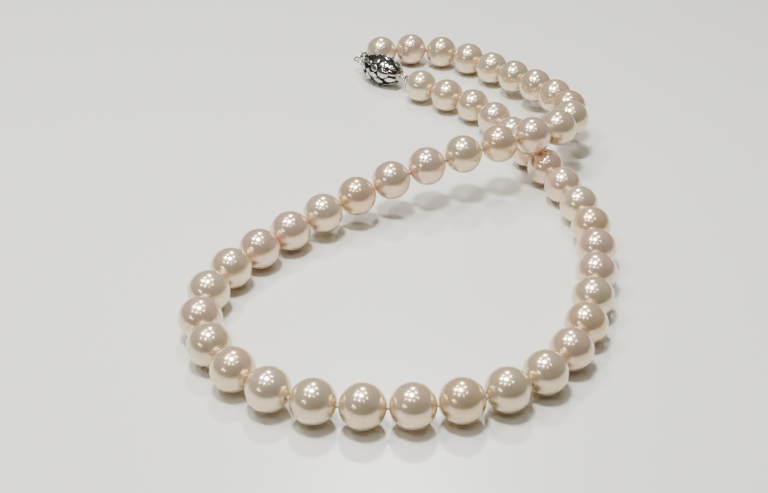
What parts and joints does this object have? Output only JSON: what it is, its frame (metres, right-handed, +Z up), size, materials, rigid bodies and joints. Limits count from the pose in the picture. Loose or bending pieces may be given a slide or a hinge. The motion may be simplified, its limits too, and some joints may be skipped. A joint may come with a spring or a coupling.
{
  "type": "pearl necklace",
  "caption": "Knotted single-strand pearl necklace lying in a figure of eight, closed by an olive-shaped spring-tongue clasp.",
  "frame": {"origin": "centre of the footprint of the lying necklace, on the surface that it lies on", "axes": "+Z up from the surface, +Y from the large front loop towards the clasp, +X to the right seen from the front"},
  "size_m": [0.0854, 0.1492, 0.0158],
  "materials": {
    "nacre": "polished cultured-pearl nacre, high lustre",
    "silk": "twisted white silk",
    "silver": "rhodium-plated silver, polished",
    "wire_coil": "fine coiled silver wire"
  },
  "bodies": {
    "pearl_01": {"pearl_01": "nacre", "wire_loop_tongue": "wire_coil"},
    "pearl_02": {"pearl_02": "nacre"},
    "pearl_03": {"pearl_03": "nacre"},
    "pearl_04": {"pearl_04": "nacre"},
    "pearl_05": {"pearl_05": "nacre"},
    "pearl_06": {"pearl_06": "nacre"},
    "pearl_07": {"pearl_07": "nacre"},
    "pearl_08": {"pearl_08": "nacre"},
    "pearl_09": {"pearl_09": "nacre"},
    "pearl_10": {"pearl_10": "nacre"},
    "pearl_11": {"pearl_11": "nacre"},
    "pearl_12": {"pearl_12": "nacre"},
    "pearl_13": {"pearl_13": "nacre"},
    "pearl_14": {"pearl_14": "nacre"},
    "pearl_15": {"pearl_15": "nacre"},
    "pearl_16": {"pearl_16": "nacre"},
    "pearl_17": {"pearl_17": "nacre"},
    "pearl_18": {"pearl_18": "nacre"},
    "pearl_19": {"pearl_19": "nacre"},
    "pearl_20": {"pearl_20": "nacre"},
    "pearl_21": {"pearl_21": "nacre"},
    "pearl_22": {"pearl_22": "nacre"},
    "pearl_23": {"pearl_23": "nacre"},
    "pearl_24": {"pearl_24": "nacre", "silk_thread": "silk"},
    "pearl_25": {"pearl_25": "nacre"},
    "pearl_26": {"pearl_26": "nacre"},
    "pearl_27": {"pearl_27": "nacre"},
    "pearl_28": {"pearl_28": "nacre"},
    "pearl_29": {"pearl_29": "nacre"},
    "pearl_30": {"pearl_30": "nacre"},
    "pearl_31": {"pearl_31": "nacre"},
    "pearl_32": {"pearl_32": "nacre"},
    "pearl_33": {"pearl_33": "nacre"},
    "pearl_34": {"pearl_34": "nacre"},
    "pearl_35": {"pearl_35": "nacre"},
    "pearl_36": {"pearl_36": "nacre"},
    "pearl_37": {"pearl_37": "nacre"},
    "pearl_38": {"pearl_38": "nacre"},
    "pearl_39": {"pearl_39": "nacre"},
    "pearl_40": {"pearl_40": "nacre"},
    "pearl_41": {"pearl_41": "nacre"},
    "pearl_42": {"pearl_42": "nacre"},
    "pearl_43": {"pearl_43": "nacre"},
    "pearl_44": {"pearl_44": "nacre"},
    "pearl_45": {"pearl_45": "nacre"},
    "pearl_46": {"pearl_46": "nacre"},
    "pearl_47": {"pearl_47": "nacre", "wire_loop_barrel": "wire_coil"},
    "jump_ring": {"jump_ring": "silver"},
    "clasp_tongue": {"tongue_cap": "silver", "tongue_strip": "silver", "tongue_ring": "silver"},
    "spring_leaf": {"spring_leaf": "silver"},
    "clasp_barrel": {"barrel_top_shell": "silver", "barrel_bottom_shell": "silver", "mouth_plate": "silver", "barrel_crossbar": "silver", "barrel_ring": "silver"}
  },
  "joints": [
    {"name": "front_loop_spread", "type": "hinge", "parent": "pearl_24", "child": "pearl_23", "pos_m": [-0.03799, -0.05016, 0.00425], "axis": [0, 0, 1], "range_deg": [-6.25, 6.25]},
    {"name": "knot_22_flex", "type": "hinge", "parent": "pearl_23", "child": "pearl_22", "pos_m": [-0.03918, -0.04169, 0.00424], "axis": [0, 0, 1], "range_deg": [-2.98, 2.98]},
    {"name": "knot_21_flex", "type": "hinge", "parent": "pearl_22", "child": "pearl_21", "pos_m": [-0.03677, -0.03349, 0.00426], "axis": [0, 0, 1], "range_deg": [-20.34, 20.34]},
    {"name": "knot_20_flex", "type": "hinge", "parent": "pearl_21", "child": "pearl_20", "pos_m": [-0.03228, -0.02623, 0.00417], "axis": [0, 0, 1], "range_deg": [-6.62, 6.62]},
    {"name": "knot_19_flex", "type": "hinge", "parent": "pearl_20", "child": "pearl_19", "pos_m": [-0.02685, -0.01964, 0.00412], "axis": [0, 0, 1], "range_deg": [-24.8, 24.8]},
    {"name": "knot_18_flex", "type": "hinge", "parent": "pearl_19", "child": "pearl_18", "pos_m": [-0.02065, -0.01381, 0.00462], "axis": [0, 0, 1], "range_deg": [-3, 3]},
    {"name": "knot_17_flex", "type": "hinge", "parent": "pearl_18", "child": "pearl_17", "pos_m": [-0.01391, -0.00873, 0.00573], "axis": [0, 0, 1], "range_deg": [-2.99, 2.99]},
    {"name": "knot_16_flex", "type": "hinge", "parent": "pearl_17", "child": "pearl_16", "pos_m": [-0.0068, -0.00428, 0.00713], "axis": [0, 0, 1], "range_deg": [-2.99, 2.99]},
    {"name": "knot_15_flex", "type": "hinge", "parent": "pearl_16", "child": "pearl_15", "pos_m": [0.00065, -0.0005, 0.0086], "axis": [0, 0, 1], "range_deg": [-3, 3]},
    {"name": "knot_14_flex", "type": "hinge", "parent": "pearl_15", "child": "pearl_14", "pos_m": [0.00845, 0.00248, 0.01002], "axis": [0, 0, 1], "range_deg": [-8.3, 8.3]},
    {"name": "knot_13_flex", "type": "hinge", "parent": "pearl_14", "child": "pearl_13", "pos_m": [0.01639, 0.00514, 0.01122], "axis": [0, 0, 1], "range_deg": [-3, 3]},
    {"name": "knot_12_flex", "type": "hinge", "parent": "pearl_13", "child": "pearl_12", "pos_m": [0.0242, 0.00824, 0.01195], "axis": [0, 0, 1], "range_deg": [-7.44, 7.44]},
    {"name": "knot_11_flex", "type": "hinge", "parent": "pearl_12", "child": "pearl_11", "pos_m": [0.03159, 0.01221, 0.01143], "axis": [0, 0, 1], "range_deg": [0, 2.87]},
    {"name": "knot_10_flex", "type": "hinge", "parent": "pearl_11", "child": "pearl_10", "pos_m": [0.03685, 0.01863, 0.01013], "axis": [0, 0, 1], "range_deg": [0, 3.61]},
    {"name": "knot_09_flex", "type": "hinge", "parent": "pearl_10", "child": "pearl_09", "pos_m": [0.03922, 0.02649, 0.00855], "axis": [0, 0, 1], "range_deg": [-0.965, 0]},
    {"name": "knot_08_flex", "type": "hinge", "parent": "pearl_09", "child": "pearl_08", "pos_m": [0.03815, 0.03467, 0.00732], "axis": [0, 0, 1], "range_deg": [-3.79, 0]},
    {"name": "knot_07_flex", "type": "hinge", "parent": "pearl_08", "child": "pearl_07", "pos_m": [0.03469, 0.04219, 0.00648], "axis": [0, 0, 1], "range_deg": [-4.88, 0]},
    {"name": "knot_06_flex", "type": "hinge", "parent": "pearl_07", "child": "pearl_06", "pos_m": [0.03029, 0.04916, 0.00558], "axis": [0, 0, 1], "range_deg": [-5.49, 0]},
    {"name": "knot_05_flex", "type": "hinge", "parent": "pearl_06", "child": "pearl_05", "pos_m": [0.02547, 0.0558, 0.00462], "axis": [0, 0, 1], "range_deg": [-6.38, 0]},
    {"name": "knot_04_flex", "type": "hinge", "parent": "pearl_05", "child": "pearl_04", "pos_m": [0.02026, 0.06215, 0.00404], "axis": [0, 0, 1], "range_deg": [-8.03, 0]},
    {"name": "knot_03_flex", "type": "hinge", "parent": "pearl_04", "child": "pearl_03", "pos_m": [0.01427, 0.06775, 0.00403], "axis": [0, 0, 1], "range_deg": [-10.1, 0]},
    {"name": "knot_02_flex", "type": "hinge", "parent": "pearl_03", "child": "pearl_02", "pos_m": [0.00656, 0.07047, 0.00407], "axis": [0, 0, 1], "range_deg": [-8.51, 0]},
    {"name": "knot_01_flex", "type": "hinge", "parent": "pearl_02", "child": "pearl_01", "pos_m": [-0.00158, 0.07089, 0.00405], "axis": [0, 0, 1], "range_deg": [-4.21, 0]},
    {"name": "jump_ring_swing", "type": "hinge", "parent": "pearl_01", "child": "jump_ring", "pos_m": [-0.01008, 0.06632, 0.00388], "axis": [0, 0, 1], "range_deg": [0, 11.89]},
    {"name": "tongue_swing", "type": "hinge", "parent": "jump_ring", "child": "clasp_tongue", "pos_m": [-0.01129, 0.06448, 0.0038], "axis": [0, 0, 1], "range_deg": [0, 16.75]},
    {"name": "knot_24_flex", "type": "hinge", "parent": "pearl_24", "child": "pearl_25", "pos_m": [-0.03394, -0.05769, 0.00425], "axis": [0, 0, 1], "range_deg": [-14.38, 14.38]},
    {"name": "knot_25_flex", "type": "hinge", "parent": "pearl_25", "child": "pearl_26", "pos_m": [-0.02816, -0.06399, 0.00425], "axis": [0, 0, 1], "range_deg": [-16.86, 16.86]},
    {"name": "knot_26_flex", "type": "hinge", "parent": "pearl_26", "child": "pearl_27", "pos_m": [-0.02076, -0.06826, 0.00424], "axis": [0, 0, 1], "range_deg": [-2.99, 2.99]},
    {"name": "knot_27_flex", "type": "hinge", "parent": "pearl_27", "child": "pearl_28", "pos_m": [-0.01246, -0.07024, 0.00424], "axis": [0, 0, 1], "range_deg": [-2.99, 2.99]},
    {"name": "knot_28_flex", "type": "hinge", "parent": "pearl_28", "child": "pearl_29", "pos_m": [-0.00394, -0.07072, 0.00424], "axis": [0, 0, 1], "range_deg": [-3, 3]},
    {"name": "knot_29_flex", "type": "hinge", "parent": "pearl_29", "child": "pearl_30", "pos_m": [0.00456, -0.07004, 0.00423], "axis": [0, 0, 1], "range_deg": [-22.13, 22.13]},
    {"name": "knot_30_flex", "type": "hinge", "parent": "pearl_30", "child": "pearl_31", "pos_m": [0.01283, -0.06801, 0.00423], "axis": [0, 0, 1], "range_deg": [-4.75, 4.75]},
    {"name": "knot_31_flex", "type": "hinge", "parent": "pearl_31", "child": "pearl_32", "pos_m": [0.02051, -0.06437, 0.00422], "axis": [0, 0, 1], "range_deg": [-3, 3]},
    {"name": "knot_32_flex", "type": "hinge", "parent": "pearl_32", "child": "pearl_33", "pos_m": [0.02679, -0.05865, 0.00421], "axis": [0, 0, 1], "range_deg": [-13.46, 13.46]},
    {"name": "knot_33_flex", "type": "hinge", "parent": "pearl_33", "child": "pearl_34", "pos_m": [0.03112, -0.05137, 0.0042], "axis": [0, 0, 1], "range_deg": [-2.99, 2.99]},
    {"name": "knot_34_flex", "type": "hinge", "parent": "pearl_34", "child": "pearl_35", "pos_m": [0.03402, -0.04343, 0.00419], "axis": [0, 0, 1], "range_deg": [-2.99, 2.99]},
    {"name": "knot_35_flex", "type": "hinge", "parent": "pearl_35", "child": "pearl_36", "pos_m": [0.036, -0.03524, 0.00418], "axis": [0, 0, 1], "range_deg": [-2.98, 2.98]},
    {"name": "knot_36_flex", "type": "hinge", "parent": "pearl_36", "child": "pearl_37", "pos_m": [0.03751, -0.02696, 0.00417], "axis": [0, 0, 1], "range_deg": [-2.98, 2.98]},
    {"name": "knot_37_flex", "type": "hinge", "parent": "pearl_37", "child": "pearl_38", "pos_m": [0.03834, -0.01861, 0.00416], "axis": [0, 0, 1], "range_deg": [-2.98, 2.98]},
    {"name": "knot_38_flex", "type": "hinge", "parent": "pearl_38", "child": "pearl_39", "pos_m": [0.03767, -0.01027, 0.00415], "axis": [0, 0, 1], "range_deg": [-30.69, 30.69]},
    {"name": "knot_39_flex", "type": "hinge", "parent": "pearl_39", "child": "pearl_40", "pos_m": [0.03554, -0.0022, 0.00414], "axis": [0, 0, 1], "range_deg": [-3, 3]},
    {"name": "knot_40_flex", "type": "hinge", "parent": "pearl_40", "child": "pearl_41", "pos_m": [0.03273, 0.00562, 0.00412], "axis": [0, 0, 1], "range_deg": [-9.49, 9.49]},
    {"name": "knot_41_flex", "type": "hinge", "parent": "pearl_41", "child": "pearl_42", "pos_m": [0.0297, 0.01334, 0.00411], "axis": [0, 0, 1], "range_deg": [-2.97, 2.97]},
    {"name": "clasp_opening", "type": "hinge", "parent": "pearl_42", "child": "pearl_43", "pos_m": [0.02672, 0.02104, 0.0041], "axis": [0, 0, 1], "range_deg": [-10.91, 0], "deforming": ["silk_thread", "spring_leaf"]},
    {"name": "knot_43_flex", "type": "hinge", "parent": "pearl_43", "child": "pearl_44", "pos_m": [0.02355, 0.02864, 0.00408], "axis": [0, 0, 1], "range_deg": [-6.96, 0]},
    {"name": "knot_44_flex", "type": "hinge", "parent": "pearl_44", "child": "pearl_45", "pos_m": [0.01949, 0.03577, 0.00407], "axis": [0, 0, 1], "range_deg": [-2.19, 0]},
    {"name": "knot_45_flex", "type": "hinge", "parent": "pearl_45", "child": "pearl_46", "pos_m": [0.01419, 0.04199, 0.00405], "axis": [0, 0, 1], "range_deg": [0, 0.714]},
    {"name": "knot_46_flex", "type": "hinge", "parent": "pearl_46", "child": "pearl_47", "pos_m": [0.00746, 0.04659, 0.00406], "axis": [0, 0, 1], "range_deg": [-0.714, 0]},
    {"name": "barrel_swing", "type": "hinge", "parent": "pearl_47", "child": "clasp_barrel", "pos_m": [0.00118, 0.05402, 0.0038], "axis": [0, 0, 1], "range_deg": [0, 3.02]},
    {"name": "leaf_press", "type": "hinge", "parent": "clasp_tongue", "child": "spring_leaf", "pos_m": [-0.00312, 0.05763, 0.00345], "axis": [-0.6428, -0.766, 0], "range_deg": [0, 3], "stiffness_Nm_per_rad": 0.02}
  ],
  "couplings": [
    {"joint": "knot_22_flex", "follows": "front_loop_spread", "ratio": -0.23872},
    {"joint": "knot_21_flex", "follows": "front_loop_spread", "ratio": 1.6274},
    {"joint": "knot_20_flex", "follows": "front_loop_spread", "ratio": -0.52945},
    {"joint": "knot_19_flex", "follows": "front_loop_spread", "ratio": -1.9836},
    {"joint": "knot_18_flex", "follows": "front_loop_spread", "ratio": 0.23964},
    {"joint": "knot_17_flex", "follows": "front_loop_spread", "ratio": 0.23947},
    {"joint": "knot_16_flex", "follows": "front_loop_spread", "ratio": 0.23944},
    {"joint": "knot_15_flex", "follows": "front_loop_spread", "ratio": 0.2396},
    {"joint": "knot_14_flex", "follows": "front_loop_spread", "ratio": -0.6644},
    {"joint": "knot_13_flex", "follows": "front_loop_spread", "ratio": -0.23993},
    {"joint": "knot_12_flex", "follows": "front_loop_spread", "ratio": -0.59535},
    {"joint": "knot_11_flex", "follows": "clasp_opening", "ratio": -0.25765},
    {"joint": "knot_10_flex", "follows": "clasp_opening", "ratio": -0.32441},
    {"joint": "knot_09_flex", "follows": "clasp_opening", "ratio": 0.086711},
    {"joint": "knot_08_flex", "follows": "clasp_opening", "ratio": 0.3409},
    {"joint": "knot_07_flex", "follows": "clasp_opening", "ratio": 0.43884},
    {"joint": "knot_06_flex", "follows": "clasp_opening", "ratio": 0.49316},
    {"joint": "knot_05_flex", "follows": "clasp_opening", "ratio": 0.57359},
    {"joint": "knot_04_flex", "follows": "clasp_opening", "ratio": 0.72171},
    {"joint": "knot_03_flex", "follows": "clasp_opening", "ratio": 0.90762},
    {"joint": "knot_02_flex", "follows": "clasp_opening", "ratio": 0.76478},
    {"joint": "knot_01_flex", "follows": "clasp_opening", "ratio": 0.37857},
    {"joint": "jump_ring_swing", "follows": "clasp_opening", "ratio": -1.0684},
    {"joint": "tongue_swing", "follows": "clasp_opening", "ratio": -1.505},
    {"joint": "knot_24_flex", "follows": "front_loop_spread", "ratio": -1.1505},
    {"joint": "knot_25_flex", "follows": "front_loop_spread", "ratio": 1.3487},
    {"joint": "knot_26_flex", "follows": "front_loop_spread", "ratio": -0.23935},
    {"joint": "knot_27_flex", "follows": "front_loop_spread", "ratio": -0.23939},
    {"joint": "knot_28_flex", "follows": "front_loop_spread", "ratio": -0.2396},
    {"joint": "knot_29_flex", "follows": "front_loop_spread", "ratio": 1.7701},
    {"joint": "knot_30_flex", "follows": "front_loop_spread", "ratio": 0.38016},
    {"joint": "knot_31_flex", "follows": "front_loop_spread", "ratio": -0.23995},
    {"joint": "knot_32_flex", "follows": "front_loop_spread", "ratio": -1.077},
    {"joint": "knot_33_flex", "follows": "front_loop_spread", "ratio": 0.23944},
    {"joint": "knot_34_flex", "follows": "front_loop_spread", "ratio": 0.23899},
    {"joint": "knot_35_flex", "follows": "front_loop_spread", "ratio": 0.23863},
    {"joint": "knot_36_flex", "follows": "front_loop_spread", "ratio": 0.23835},
    {"joint": "knot_37_flex", "follows": "front_loop_spread", "ratio": 0.23872},
    {"joint": "knot_38_flex", "follows": "front_loop_spread", "ratio": -2.4555},
    {"joint": "knot_39_flex", "follows": "front_loop_spread", "ratio": -0.23992},
    {"joint": "knot_40_flex", "follows": "front_loop_spread", "ratio": 0.75936},
    {"joint": "knot_41_flex", "follows": "front_loop_spread", "ratio": -0.23729},
    {"joint": "knot_43_flex", "follows": "clasp_opening", "ratio": 0.62529},
    {"joint": "knot_44_flex", "follows": "clasp_opening", "ratio": 0.19646},
    {"joint": "knot_45_flex", "follows": "clasp_opening", "ratio": -0.064145},
    {"joint": "knot_46_flex", "follows": "clasp_opening", "ratio": 0.064144},
    {"joint": "barrel_swing", "follows": "clasp_opening", "ratio": -0.27137}
  ]
}
